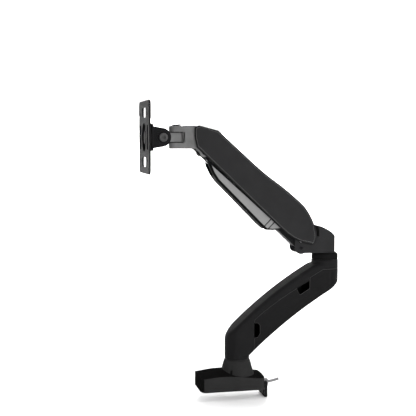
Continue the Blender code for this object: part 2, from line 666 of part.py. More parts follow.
def make_lower_link(body):
    """The second link: a shallow channel under the gas spring, eared at both ends."""
    near_end = -ARM_LENGTH
    outline = [(near_end - 10.4, -5.4), (4.2, -5.4)] + arc(0, 0, 6.8, -45, 100, 6)
    outline += [(-12, 4), (-56, 4), (-62, 1), (near_end + 12, 1)] + arc(near_end, 0, 6.8, 80, 150, 4) + [(near_end - 10.4, 2)]
    link = prism("lower_link", outline, -LINK_Y[1], LINK_Y[1], "xz", "black_steel", body)
    room = box_outline(near_end - 40, -3.2, 40, 40)
    cut(link, prism("link_room", room, -LINK_Y[0], LINK_Y[0], "xz", None, body))
    clear = box_outline(near_end + 14, -3.2, -60, 40)
    cut(link, prism("link_relief", clear, -30, 30, "xz", None, body))
    for i, x in enumerate((0, near_end)):
        mouth = box_outline(x - 9, -40, x + 12, 40)
        cut(link, prism(f"link_mouth_{i}", mouth, -LINK_Y[0], LINK_Y[0], "xz", None, body))
        cut(link, rod(f"link_pin_hole_{i}", LINK_PIN_R, -30, 30, (x, 0, 0), "y", body=body, steps=24))
    return link


def tray_top(x):
    """Height of the tray's rim, which climbs towards the elbow."""
    along = (x - TRAY_FRONT) / (TRAY_REAR - TRAY_FRONT)
    return TRAY_TOP[0] + (TRAY_TOP[1] - TRAY_TOP[0]) * along


def tray_outline():
    """Side view of the tray, from its rear tip along the bottom to the front tip."""
    bottom = [(TRAY_REAR, TRAY_TOP[1]), (-58.6, -13.2), (-66.8, -20.1), (-76.3, -20.7), (-151.3, -18.8)]
    return bottom + [(-182.8, -18.2), (-194.8, -15.8), (-209.0, -10.8), (TRAY_FRONT, TRAY_TOP[0])]


def make_cable_tray(body):
    """The black trough under the link; both of its ends are open for the cables."""
    tray = prism("cable_tray", tray_outline(), -TRAY_HALF, TRAY_HALF, "xz", "black_plastic", body, 1.6, 2)
    room = [(-20, 10), (-20, -6.2), (-55.6, -6.2), (-60.4, -11.6), (-67.6, -17.6), (-76.3, -18.4)]
    room += [(-151.3, -16.6), (-182.8, -16.0), (-196, -13.2), (-230, -1), (-230, 10)]
    wall = TRAY_HALF - 3.4
    cut(tray, prism("tray_room", room, -wall, wall, "xz", None, body))
    for name, x0, x1 in (("front", -230, -193), ("rear", -71, -40)):
        cut(tray, prism(f"tray_mouth_{name}", box_outline(x0, -30, x1, 10), -9.5, 9.5, "xz", None, body))
    for name, sign in (("near", -1), ("far", 1)):
        low, high = sorted(((TRAY_HALF - TRAY_SKIN) * sign, (TRAY_HALF + 5) * sign))
        pocket = [(-40, 10), (-47.6, 1.4), (-58.8, -11.2), (-66.4, -16.9), (-76.3, -17.5), (-151.3, -15.5)]
        pocket += [(-184, -14.9), (-197, -12.0), (-214, -5), (-214, 10)]
        cut(tray, prism(f"tray_pocket_{name}", pocket, low, high, "xz", None, body))
    return tray


def make_tray_sides(body):
    """The light grey side strips, the clip band and the tail piece set into the tray's flanks."""
    rim = {x: tray_top(x) - 0.4 for x in (-210.0, -73.6, -72.4, -65.8, -64.6, -49.6)}
    strips = {
        "tray_side": [(-73.6, rim[-73.6]), (-73.6, -17.0), (-151.3, -15.0), (-183.8, -14.4)]
        + [(-196.6, -11.5), (-210.0, rim[-210.0])],
        "tray_clip": [(-65.8, rim[-65.8]), (-65.8, -16.3), (-72.4, -16.9), (-72.4, rim[-72.4])],
        "tray_tail": [(-49.6, rim[-49.6]), (-59.2, -10.6), (-64.6, -14.6), (-64.6, rim[-64.6])],
    }
    for name, outline in strips.items():
        for side_name, sign in (("near", -1), ("far", 1)):
            outer = TRAY_HALF + (0.3 if name == "tray_clip" else 0.0)
            low, high = sorted(((TRAY_HALF - TRAY_SKIN + 0.3) * sign, outer * sign))
            prism(f"{name}_{side_name}", outline, low, high, "xz", "light_grey_plastic", body)


# ---------------------------------------------------------------- head
# Its frame: the origin is on the front upper pivot, and it stays level.

FORK_HALF_Z = 18.8
SLOT_HALF_Z = 9.0
FORK_R = 12.0


def make_head_fork(body):
    """The casting at the front of the upper arm: a fork for the pan pin, and two cheeks for the link pins."""
    plan = arc(-PAN_REACH, 0, FORK_R, 90, 270, 14) + [(-21, -CHEEK_Y[1]), (-14, -CHEEK_Y[1])]
    plan += [(-14, CHEEK_Y[1]), (-21, CHEEK_Y[1])]
    fork = prism("head_fork", plan, -FORK_HALF_Z, FORK_HALF_Z, "xy", "grey_casting", body, 1.2, 2)
    slot = box_outline(-PAN_REACH - 20, -SLOT_HALF_Z, -PAN_REACH + 12.4, SLOT_HALF_Z, 2.2, 3)
    cut(fork, prism("fork_slot", slot, -30, 30, "xz", None, body))
    lobe = capsule(0, 0, 9.5, 0, -LINK_DROP, 7.5, 10)
    web = [(0, 9.4), (-15, 14), (-15, -18), (-7.4, -LINK_DROP)]
    for side_name, sign in (("near", -1), ("far", 1)):
        low, high = sorted((CHEEK_Y[0] * sign, CHEEK_Y[1] * sign))
        cheek = prism(f"head_cheek_{side_name}", lobe, low, high, "xz", None, body)
        join(cheek, prism(f"head_web_{side_name}", web, low, high, "xz", None, body))
        join(fork, cheek)
    cut(fork, rod("head_pin_hole", PIN_R + 0.02, -30, 30, (0, 0, 0), "y", body=body, steps=24))
    cut(fork, rod("head_link_hole", LINK_PIN_R + 0.02, -30, 30, (0, 0, -LINK_DROP), "y", body=body, steps=24))
    cut(fork, rod("pan_hole", 5.0, -30, 30, (-PAN_REACH, 0, 0), body=body, steps=24))
    cut(fork, rod("pan_nut_room", 8.6, -30, -FORK_HALF_Z + 4.2, (-PAN_REACH, 0, 0), body=body, steps=24))
    return fork


def make_head_hardware(body):
    reach = CHANNEL_Y[1] - 0.2
    rod("head_pin", PIN_R - 0.3, -reach, reach, (0, 0, 0), "y", "bare_steel", body, 24, 0.4)
    reach = CHEEK_Y[1] - 0.2
    rod("link_pin_front", LINK_PIN_R - 0.3, -reach, reach, (0, 0, -LINK_DROP), "y", "bare_steel", body, 24, 0.4)
    pin = [(0, -FORK_HALF_Z + 0.8), (4.7, -FORK_HALF_Z + 0.8), (4.7, FORK_HALF_Z + 0.3)]
    pin += [(8.1, FORK_HALF_Z + 0.3), (8.1, FORK_HALF_Z + 1.3), (7.3, FORK_HALF_Z + 2.1), (0, FORK_HALF_Z + 2.1)]
    turned("pan_pin", pin, (-PAN_REACH, 0, 0), paint="black_steel", body=body)
    hex_nut("pan_nut", 5.0, 7.8, -FORK_HALF_Z + 0.4, -FORK_HALF_Z + 3.9, (-PAN_REACH, 0, 0), body=body)
    for name, sign in (("top", 1), ("bottom", -1)):
        low, high = sorted((7.9 * sign, 8.75 * sign))
        ring(f"pan_washer_{name}", 5.1, 9.0, low, high, (-PAN_REACH, 0, 0), paint="nylon", body=body)


# ---------------------------------------------------------------- pan knuckle, tilt bracket and screen plate

TONGUE_HALF_Z = 7.6
TONGUE_R = 11.0
TONGUE_HALF_Y = 9.0
TILT_BARREL_R = 11.6
EAR_Y = (11.0, 14.0)
EAR_R = 15.6
EAR_OFF = -2.4  # the ears' rounding is centred behind the tilt axis
WEB_X = (-19.6, -16.6)  # the tilt bracket's web, from the tilt axis
DISC_X = (-21.9, -19.9)
VESA_X = (-29.4, -26.6)
DISH_X = (-25.0, -22.2)
DISH_R = 26.0


def make_pan_knuckle(body):
    """The tongue in the fork and the barrel of the tilt hinge, in one casting. The origin is on the pan axis."""
    turn = math.degrees(math.asin(TONGUE_HALF_Y / TONGUE_R))
    plan = arc(0, 0, TONGUE_R, -turn, turn, 12) + [(-16, TONGUE_HALF_Y), (-16, -TONGUE_HALF_Y)]
    tongue = prism(
        "pan_knuckle", plan, -TONGUE_HALF_Z, TONGUE_HALF_Z, "xy", "grey_casting", body, 0.8, 2
    )
    barrel = rod(
        "tilt_barrel", TILT_BARREL_R, -EAR_Y[0] + 0.35, EAR_Y[0] - 0.35, (-TILT_REACH, 0, 0), "y",
        body=body, steps=40, edge=0.8,
    )
    join(tongue, barrel)
    cut(tongue, rod("tongue_hole", 5.05, -30, 30, body=body, steps=24))
    return cut(tongue, rod("barrel_hole", 4.3, -30, 30, (-TILT_REACH, 0, 0), "y", body=body, steps=24))


def make_tilt_bracket(body):
    """A pressed U: two round ears on the barrel, and a web that the screen plate turns on. Origin on the tilt axis."""
    ear = arc(EAR_OFF, 0, EAR_R, -78, 78, 12) + [(-8, EAR_R + 1), (WEB_X[0] + 1, EAR_R + 3)]
    ear = ear + [(WEB_X[0] + 1, -EAR_R - 3), (-8, -EAR_R - 1)]
    bracket = prism(
        "tilt_bracket", box_outline(-EAR_Y[1] - 7, -22, EAR_Y[1] + 7, 22, 6), *WEB_X, "yz", "black_steel", body
    )
    for name, sign in (("near", -1), ("far", 1)):
        low, high = sorted((EAR_Y[0] * sign, EAR_Y[1] * sign))
        join(bracket, prism(f"ear_{name}", ear, low, high, "xz", None, body))
    cut(bracket, rod("ear_hole", 4.3, -30, 30, axis="y", body=body, steps=24))
    return cut(bracket, rod("web_hole", 6.3, -30, -10, axis="x", body=body, steps=24))


def make_tilt_hardware(body):
    socket_screw("tilt_bolt", 7.0, 5.2, 4.0, 33.5, (0, -15.5, 0), "y", "grey_casting", body, flip=True)
    for name, sign in (("near", -1), ("far", 1)):
        low, high = sorted(((EAR_Y[1] + 0.3) * sign, (EAR_Y[1] + 1.2) * sign))
        ring(f"tilt_washer_{name}", 4.3, 11.0, low, high, axis="y", paint="black_steel", body=body)
    hex_nut("tilt_nut", 4.3, 7.4, 15.5, 20.5, axis="y", body=body)
    ring("turn_disc", 6.3, 20.0, *DISC_X, axis="x", paint="nylon", body=body, steps=40)
    profile = [(0, -28.4), (10.5, -28.4), (11.0, -27.9), (11.0, -25.4), (6.0, -25.4), (6.0, -14.0), (0, -14.0)]
    stud = turned("turn_stud", profile, axis="x", paint="black_steel", body=body, steps=32)
    hex_nut("turn_nut", 6.3, 9.0, -16.2, -13.0, axis="x", body=body)
    return stud


def make_vesa_plate(body):
    """The pressed screen plate: holes for the 75 and 100 mm patterns, and a dished middle that the stud's head
    sits in. Origin on the tilt axis."""
    half = VESA_SIDE / 2
    plate = prism(
        "vesa_plate", box_outline(-half, -half, half, half, 9, 4), *VESA_X, "yz", "black_steel", body, 0.5, 1
    )
    join(plate, rod("dish", DISH_R, VESA_X[0] + 1, DISH_X[1], axis="x", body=body, steps=40, edge=0.8))
    cut(plate, rod("dish_room", DISH_R - 2.8, VESA_X[0] - 5, DISH_X[0], axis="x", body=body, steps=40))
    cut(plate, rod("plate_hole", 6.4, -40, 0, axis="x", body=body, steps=32))
    for y in (-1, 1):
        for z in (-1, 1):
            tag = f"{y}_{z}"
            cut(plate, rod("hole_100_" + tag, 2.6, -40, 0, (0, 50 * y, 50 * z), "x", body=body, steps=16))
            cut(plate, rod("hole_75_" + tag, 2.6, -40, 0, (0, 37.5 * y, 37.5 * z), "x", body=body, steps=16))
    for i, (y, z) in enumerate(((0, 40), (0, -40), (40, 0), (-40, 0))):
        wide, tall = (20, 8) if z else (8, 20)
        opening = box_outline(y - wide, z - tall, y + wide, z + tall, 5, 3)
        cut(plate, prism(f"plate_opening_{i}", opening, -40, 0, "yz", None, body))
    return plate


# ---------------------------------------------------------------- assembly


def main():
    for obj in list(bpy.data.objects):
        bpy.data.objects.remove(obj)
    lift = math.radians(ARM_RISE)
    front_x = LIFT_X - ARM_LENGTH * math.cos(lift)
    front_z = LIFT_Z + ARM_LENGTH * math.sin(lift)

    base = frame_at("base_axis", 0, 0, 0)
    make_desk_pad(base)
    make_base_plate(base)
    make_base_cover(base)
    make_post(base)
    make_base_bush(base)
    make_post_retainer(base)
    make_cable_tie(base)

    lower_arm = frame_at("base_swivel_axis", 0, 0, 0)
    make_lower_arm(lower_arm)
    make_cable_cover(lower_arm)
    make_elbow_post(lower_arm)
    make_elbow_ring(lower_arm)

    elbow = frame_at("elbow_axis", ELBOW_X, 0, 0)
    make_knuckle(elbow)
    make_knuckle_hardware(elbow)

    upper_arm = frame_at("lift_axis", LIFT_X, 0, LIFT_Z, ARM_RISE)
    make_upper_cover(upper_arm)
    make_cover_panels(upper_arm)
    make_channel(upper_arm)
    make_gas_spring(upper_arm)
    make_spring_rod(upper_arm)

    link = frame_at("link_axis", LIFT_X, 0, LIFT_Z - LINK_DROP, ARM_RISE)
    make_lower_link(link)
    make_cable_tray(link)
    make_tray_sides(link)

    head = frame_at("head_axis", front_x, 0, front_z)
    make_head_fork(head)
    make_head_hardware(head)

    pan = frame_at("pan_axis", front_x - PAN_REACH, 0, front_z)
    make_pan_knuckle(pan)

    tilt = frame_at("tilt_axis", front_x - PAN_REACH - TILT_REACH, 0, front_z)
    make_tilt_bracket(tilt)
    make_tilt_hardware(tilt)
    make_vesa_plate(tilt)


main()
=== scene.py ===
import json
import math

import bmesh
import bpy
from mathutils import Matrix, Vector

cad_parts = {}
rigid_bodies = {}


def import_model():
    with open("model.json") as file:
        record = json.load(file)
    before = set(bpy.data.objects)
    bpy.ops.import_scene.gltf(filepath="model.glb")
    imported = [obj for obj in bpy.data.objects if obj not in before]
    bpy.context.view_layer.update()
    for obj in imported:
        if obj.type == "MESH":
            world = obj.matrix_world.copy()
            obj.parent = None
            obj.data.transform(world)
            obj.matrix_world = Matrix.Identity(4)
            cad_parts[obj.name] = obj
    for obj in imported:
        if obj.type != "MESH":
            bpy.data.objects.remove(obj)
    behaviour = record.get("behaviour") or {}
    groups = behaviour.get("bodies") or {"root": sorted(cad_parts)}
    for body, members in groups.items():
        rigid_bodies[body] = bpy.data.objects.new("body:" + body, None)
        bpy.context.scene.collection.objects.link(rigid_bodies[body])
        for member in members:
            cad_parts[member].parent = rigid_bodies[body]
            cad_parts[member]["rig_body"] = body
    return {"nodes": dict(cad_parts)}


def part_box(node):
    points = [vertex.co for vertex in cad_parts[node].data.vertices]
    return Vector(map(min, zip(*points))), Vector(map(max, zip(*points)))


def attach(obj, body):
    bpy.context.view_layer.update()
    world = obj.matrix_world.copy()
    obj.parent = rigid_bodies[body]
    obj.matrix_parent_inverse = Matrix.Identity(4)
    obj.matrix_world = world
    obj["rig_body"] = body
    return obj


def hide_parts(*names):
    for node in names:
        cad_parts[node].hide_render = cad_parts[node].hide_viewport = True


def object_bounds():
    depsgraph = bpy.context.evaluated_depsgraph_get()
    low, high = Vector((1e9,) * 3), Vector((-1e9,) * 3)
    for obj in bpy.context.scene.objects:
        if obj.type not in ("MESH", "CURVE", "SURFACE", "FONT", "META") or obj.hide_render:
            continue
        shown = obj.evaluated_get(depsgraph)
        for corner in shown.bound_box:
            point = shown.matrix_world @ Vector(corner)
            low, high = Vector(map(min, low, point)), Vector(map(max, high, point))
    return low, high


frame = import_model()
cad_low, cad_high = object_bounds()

nodes = frame["nodes"]

# ---------------------------------------------------------------- desk pad
# A thin black rubber sheet glued under the base so that it doesn't mark the desk or slip.
# It is die-cut, matt and a little dusty.


def wire(tree, source, output, target, socket):
    """Joins one node's output to another's input."""
    tree.links.new(source.outputs[output], target.inputs[socket])


def new_group(name, inputs, outputs):
    """An empty shader node group: inputs are (name, kind, default), outputs are (name, kind)."""
    group = bpy.data.node_groups.new(name, "ShaderNodeTree")
    for label, kind, default in inputs:
        socket = group.interface.new_socket(label, in_out="INPUT", socket_type="NodeSocket" + kind)
        socket.default_value = default
    for label, kind in outputs:
        group.interface.new_socket(label, in_out="OUTPUT", socket_type="NodeSocket" + kind)
    return group, group.nodes.new("NodeGroupInput"), group.nodes.new("NodeGroupOutput")


def add(tree, kind, **values):
    """A shader node with its properties and input defaults set by name."""
    node = tree.nodes.new(kind)
    for name, value in values.items():
        if name in node.inputs:
            node.inputs[name].default_value = value
        else:
            setattr(node, name, value)
    return node


def math_node(tree, operation, a, b, clamp=False):
    """A Math node; a and b are numbers or (node, output)."""
    node = tree.nodes.new("ShaderNodeMath")
    node.operation = operation
    node.use_clamp = clamp
    for i, value in enumerate((a, b)):
        if isinstance(value, tuple):
            tree.links.new(value[0].outputs[value[1]], node.inputs[i])
        else:
            node.inputs[i].default_value = value
    return node


def make_shared_surface():
    """The finish that every moulded and painted piece shares: mottled colour, fine grain in the surface,
    an edge colour (rubbed wear on most pieces, a painted highlight or painted shade on some), and a little
    dust on what faces up."""
    tree, inp, out = new_group(
        "moulded_and_painted_surface",
        [
            ("Colour", "Color", (0.02, 0.02, 0.02, 1)),
            ("Edge Colour", "Color", (0.1, 0.1, 0.1, 1)),
            ("Roughness", "Float", 0.5),
            ("Mottle", "Float", 0.25),
            ("Grain Size", "Float", 900.0),
            ("Edge Width", "Float", 0.0007),
            ("Edge Amount", "Float", 0.5),
            ("Dust", "Float", 0.1),
        ],
        [("Colour", "Color"), ("Roughness", "Float"), ("Height", "Float")],
    )
    where = add(tree, "ShaderNodeTexCoord")
    grain = add(tree, "ShaderNodeTexNoise", Detail=3.0, Roughness=0.6)
    wire(tree, where, "Object", grain, "Vector")
    wire(tree, inp, "Grain Size", grain, "Scale")
    cloud = add(tree, "ShaderNodeTexNoise", Scale=38.0, Detail=4.0, Roughness=0.55)
    wire(tree, where, "Object", cloud, "Vector")
    scuff = add(tree, "ShaderNodeTexNoise", Scale=160.0, Detail=5.0, Roughness=0.65, Distortion=0.4)
    wire(tree, where, "Object", scuff, "Vector")

    # How far the rounded normal leans away from the true one marks the edges.
    shape = add(tree, "ShaderNodeNewGeometry")
    rounded = add(tree, "ShaderNodeBevel", samples=6)
    wire(tree, inp, "Edge Width", rounded, "Radius")
    lean = add(tree, "ShaderNodeVectorMath", operation="DOT_PRODUCT")
    wire(tree, rounded, "Normal", lean, 0)
    wire(tree, shape, "Normal", lean, 1)
    edge = add(tree, "ShaderNodeMapRange", clamp=True)
    tree.links.new(lean.outputs["Value"], edge.inputs["Value"])
    for label, value in (("From Min", 0.995), ("From Max", 0.86), ("To Min", 0.0), ("To Max", 1.0)):
        edge.inputs[label].default_value = value
    patchy = add(tree, "ShaderNodeMapRange", clamp=True)
    tree.links.new(scuff.outputs["Fac"], patchy.inputs["Value"])
    patchy.inputs["From Min"].default_value = 0.36
    patchy.inputs["From Max"].default_value = 0.62
    edge_mask = math_node(tree, "MULTIPLY", (edge, "Result"), (patchy, "Result"))
    edge_mask = math_node(tree, "MULTIPLY", (edge_mask, "Value"), (inp, "Edge Amount"), clamp=True)

    # Cloudy tone, then the edge colour (rubbed wear on most pieces, a painted highlight or painted shade on
    # some), then dust.
    tone = math_node(tree, "SUBTRACT", (cloud, "Fac"), 0.5)
    tone = math_node(tree, "MULTIPLY", (tone, "Value"), (inp, "Mottle"))
    tone = math_node(tree, "ADD", (tone, "Value"), 1.0)
    shade = add(tree, "ShaderNodeVectorMath", operation="SCALE")
    wire(tree, inp, "Colour", shade, 0)
    wire(tree, tone, "Value", shade, "Scale")
    edge_tint = add(tree, "ShaderNodeMix", data_type="RGBA")
    tree.links.new(edge_mask.outputs["Value"], edge_tint.inputs["Factor"])
    tree.links.new(shade.outputs["Vector"], edge_tint.inputs[6])
    tree.links.new(inp.outputs["Edge Colour"], edge_tint.inputs[7])
    facing = add(tree, "ShaderNodeSeparateXYZ")
    wire(tree, shape, "Normal", facing, "Vector")
    up = add(tree, "ShaderNodeMapRange", clamp=True)
    tree.links.new(facing.outputs["Z"], up.inputs["Value"])
    up.inputs["From Min"].default_value = 0.45
    up.inputs["From Max"].default_value = 1.0
    settled = math_node(tree, "MULTIPLY", (up, "Result"), (cloud, "Fac"))
    settled = math_node(tree, "MULTIPLY", (settled, "Value"), (inp, "Dust"), clamp=True)
    dusted = add(tree, "ShaderNodeMix", data_type="RGBA")
    dusted.inputs[7].default_value = (0.30, 0.29, 0.28, 1)
    tree.links.new(settled.outputs["Value"], dusted.inputs["Factor"])
    tree.links.new(edge_tint.outputs[2], dusted.inputs[6])
    tree.links.new(dusted.outputs[2], out.inputs["Colour"])

    uneven = math_node(tree, "SUBTRACT", (scuff, "Fac"), 0.5)
    uneven = math_node(tree, "MULTIPLY", (uneven, "Value"), 0.22)
    rough = math_node(tree, "ADD", (uneven, "Value"), (inp, "Roughness"))
    polish = math_node(tree, "MULTIPLY", (edge_mask, "Value"), 0.12)
    rough = math_node(tree, "SUBTRACT", (rough, "Value"), (polish, "Value"), clamp=True)
    tree.links.new(rough.outputs["Value"], out.inputs["Roughness"])
    tree.links.new(grain.outputs["Fac"], out.inputs["Height"])
    return tree


shared_surface = make_shared_surface()


def finish_with(name, colour, edge_colour, roughness, bump=0.12, coat=0.0, gloss=0.3, ior=1.15, **inputs):
    """A Principled material on the shared surface group; inputs override that group's sockets."""
    made = bpy.data.materials.new(name)
    made.use_nodes = True
    tree = made.node_tree
    shader = tree.nodes["Principled BSDF"]
    shader.inputs["IOR"].default_value = ior
    shader.inputs["Coat Weight"].default_value = coat
    shader.inputs["Coat Roughness"].default_value = 0.26
    shader.inputs["Specular IOR Level"].default_value = gloss
    surface = add(tree, "ShaderNodeGroup", node_tree=shared_surface)
    surface.inputs["Colour"].default_value = (*colour, 1)
    surface.inputs["Edge Colour"].default_value = (*edge_colour, 1)
    surface.inputs["Roughness"].default_value = roughness
    for label, value in inputs.items():
        surface.inputs[label.replace("_", " ")].default_value = value
    relief = add(tree, "ShaderNodeBump", Strength=bump, Distance=0.0004)
    wire(tree, surface, "Colour", shader, "Base Color")
    wire(tree, surface, "Roughness", shader, "Roughness")
    wire(tree, surface, "Height", relief, "Height")
    wire(tree, relief, "Normal", shader, "Normal")
    return made


def paint(material, *names):
    """Gives CAD nodes a better material."""
    for name in names:
        mesh = nodes[name].data
        mesh.materials.clear()
        mesh.materials.append(material)


def softened(node, width, material, segments=2, angle=35, rim=None, flat=1.0):
    """A copy of a CAD node, merged, its hard edges broken as the real piece's are, which replaces the node.
    rim is the material of the broken edges, and flat the angle under which neighbouring faces become one."""
    mesh = nodes[node].data.copy()
    bm = bmesh.new()
    bm.from_mesh(mesh)
    bmesh.ops.remove_doubles(bm, verts=bm.verts, dist=0.00002)
    bmesh.ops.dissolve_limit(bm, angle_limit=math.radians(flat), verts=bm.verts, edges=bm.edges)
    bmesh.ops.recalc_face_normals(bm, faces=bm.faces)
    bm.to_mesh(mesh)
    bm.free()
    mesh.materials.clear()
    mesh.materials.append(material)
    mesh.shade_smooth()
    piece = bpy.data.objects.new("soft_" + node, mesh)
    bpy.context.scene.collection.objects.link(piece)
    bevel = piece.modifiers.new("broken_edges", "BEVEL")
    bevel.width = width
    bevel.segments = segments
    bevel.limit_method = "ANGLE"
    bevel.angle_limit = math.radians(angle)
    bevel.use_clamp_overlap = True
    if rim:
        mesh.materials.append(rim)
        bevel.material = 1
    evened = piece.modifiers.new("even_shading", "WEIGHTED_NORMAL")
    evened.keep_sharp = True
    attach(piece, nodes[node]["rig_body"])
    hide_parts(node)
    return piece


pad_rubber = finish_with(
    "pad_rubber", (0.018, 0.018, 0.018), (0.05, 0.05, 0.05), 0.85, bump=0.5, Grain_Size=1400.0, Dust=0.2
)
paint(pad_rubber, "desk_pad")

# ---------------------------------------------------------------- base plate and flange
# Laser-cut steel, 5 mm, bent up at the back to hang over the desk's edge. Black powder coat,
# rubbed bright along its cut edges.

black_coat_steel = finish_with(
    "black_coated_steel", (0.006, 0.006, 0.0065), (0.10, 0.10, 0.10), 0.45, bump=0.2, gloss=0.15,
    Grain_Size=1600.0, Edge_Amount=0.35, Edge_Width=0.0006, Dust=0.03,
)
softened("base_plate", 0.0005, black_coat_steel)

# ---------------------------------------------------------------- base cover
# One black ABS moulding over the plate: straight sides, a crowned top and a flared collar round the post.

base_plastic = finish_with(
    "base_cover_plastic", (0.0160, 0.0160, 0.0160), (0.04, 0.04, 0.04), 0.6, bump=0.4, gloss=0.05,
    Grain_Size=1100.0, Mottle=0.5, Edge_Amount=0.55, Dust=0.02,
)
# Painted shade: a near-black copy of the base plastic, with almost no reflection, for the faces that look up
# round the foot of the collar and the low faces that look to -X, standing in for the shade on the top and the
# left end.
base_top_plastic = finish_with(
    "base_top_plastic", (0.0035, 0.0035, 0.0035), (0.03, 0.03, 0.03), 0.7, bump=0.1, gloss=0.04, ior=1.03,
    Grain_Size=1100.0, Mottle=0.5, Edge_Amount=0.4, Dust=0.004,
)
base_shell = softened("base_cover", 0.0005, base_plastic, 2, 28)
base_shell.data.materials.append(base_top_plastic)
COLLAR_FOOT_Z = 0.031
# Faces up round the collar's foot, and faces towards -X below it, get the painted shade.
for face in base_shell.data.polygons:
    faces_up = face.normal.z > 0.35 and face.center.z < COLLAR_FOOT_Z + 0.004
    faces_front = face.normal.x < -0.5 and face.center.z < COLLAR_FOOT_Z
    if faces_up or faces_front:
        face.material_index = 1

# ---------------------------------------------------------------- post, bolts and bush
# A turned steel post stands on the plate, with a bolt from below and a washer and screw on top. The arm turns
# on a nylon bush.


def make_turned_metal():
    """Fine rings left by the lathe, and a slow change of tone."""
    tree, inp, out = new_group(
        "machined_metal",
        [("Colour", "Color", (0.5, 0.5, 0.5, 1)), ("Roughness", "Float", 0.3), ("Ring Size", "Float", 900.0)],
        [("Colour", "Color"), ("Roughness", "Float"), ("Height", "Float")],
    )
    where = add(tree, "ShaderNodeTexCoord")
    rings = add(tree, "ShaderNodeTexWave", wave_type="RINGS", rings_direction="SPHERICAL", Distortion=1.5)
    wire(tree, where, "Object", rings, "Vector")
    wire(tree, inp, "Ring Size", rings, "Scale")
    cloud = add(tree, "ShaderNodeTexNoise", Scale=90.0, Detail=5.0)
    wire(tree, where, "Object", cloud, "Vector")
    tone = math_node(tree, "MULTIPLY", (cloud, "Fac"), 0.35)
    tone = math_node(tree, "ADD", (tone, "Value"), 0.82)
    shade = add(tree, "ShaderNodeVectorMath", operation="SCALE")
    wire(tree, inp, "Colour", shade, 0)
    wire(tree, tone, "Value", shade, "Scale")
    tree.links.new(shade.outputs["Vector"], out.inputs["Colour"])
    rough = math_node(tree, "MULTIPLY", (cloud, "Fac"), 0.2)
    rough = math_node(tree, "ADD", (rough, "Value"), (inp, "Roughness"))
    tree.links.new(rough.outputs["Value"], out.inputs["Roughness"])
    tree.links.new(rings.outputs["Fac"], out.inputs["Height"])
    return tree


machined_metal = make_turned_metal()


def metal_with(name, colour, roughness, ring_size=900.0, bump=0.1):
    """A bare metal on the machined surface."""
    made = bpy.data.materials.new(name)
    made.use_nodes = True
    tree = made.node_tree
    shader = tree.nodes["Principled BSDF"]
    shader.inputs["Metallic"].default_value = 1.0
    surface = add(tree, "ShaderNodeGroup", node_tree=machined_metal)
    surface.inputs["Colour"].default_value = (*colour, 1)
    surface.inputs["Roughness"].default_value = roughness
    surface.inputs["Ring Size"].default_value = ring_size
    relief = add(tree, "ShaderNodeBump", Strength=bump, Distance=0.0001)
    wire(tree, surface, "Colour", shader, "Base Color")
    wire(tree, surface, "Roughness", shader, "Roughness")
    wire(tree, surface, "Height", relief, "Height")
    wire(tree, relief, "Normal", shader, "Normal")
    return made


bright_steel = metal_with("bright_steel", (0.50, 0.50, 0.51), 0.24)
zinc_steel = metal_with("zinc_plated_steel", (0.42, 0.43, 0.44), 0.34, 500.0)
bush_nylon = finish_with(
    "bush_nylon", (0.58, 0.57, 0.53), (0.7, 0.7, 0.66), 0.45, bump=0.08, Dust=0.0, Mottle=0.15
)
paint(bright_steel, "post", "elbow_post", "anchor_pin", "anchor_roller")
paint(zinc_steel, "post_bolt", "post_retainer", "retainer_screw")
black_nylon = finish_with(
    "black_nylon", (0.012, 0.012, 0.012), (0.05, 0.05, 0.05), 0.45, bump=0.08, gloss=0.2, Dust=0.0
)
paint(black_nylon, "base_bush", "turn_disc")
paint(bush_nylon, "elbow_bush")

# ---------------------------------------------------------------- cable tie
# A grey nylon tie looped through the flange, its toothed tail left long.

TIE_MIDDLE_Y = -0.0128
TIE_WIDTH, TIE_THICKNESS = 0.0042, 0.0012
TIE_TOOTH_PITCH = 0.0011
tie_low, tie_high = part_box("cable_tie")

tie_nylon = finish_with(
    "tie_nylon", (0.13, 0.13, 0.133), (0.4, 0.4, 0.4), 0.38, bump=0.08, coat=0.2, Dust=0.0, Mottle=0.3
)


def curve_through(name, points):
    """A smooth open curve guided by points."""
    made = bpy.data.curves.new(name, "CURVE")
    made.dimensions = "3D"
    spline = made.splines.new("NURBS")
    spline.points.add(len(points) - 1)
    for spot, place in zip(spline.points, points):
        spot.co = (*place, 1)
    spline.use_endpoint_u = True
    spline.order_u = 3
    made.resolution_u = 8
    return made


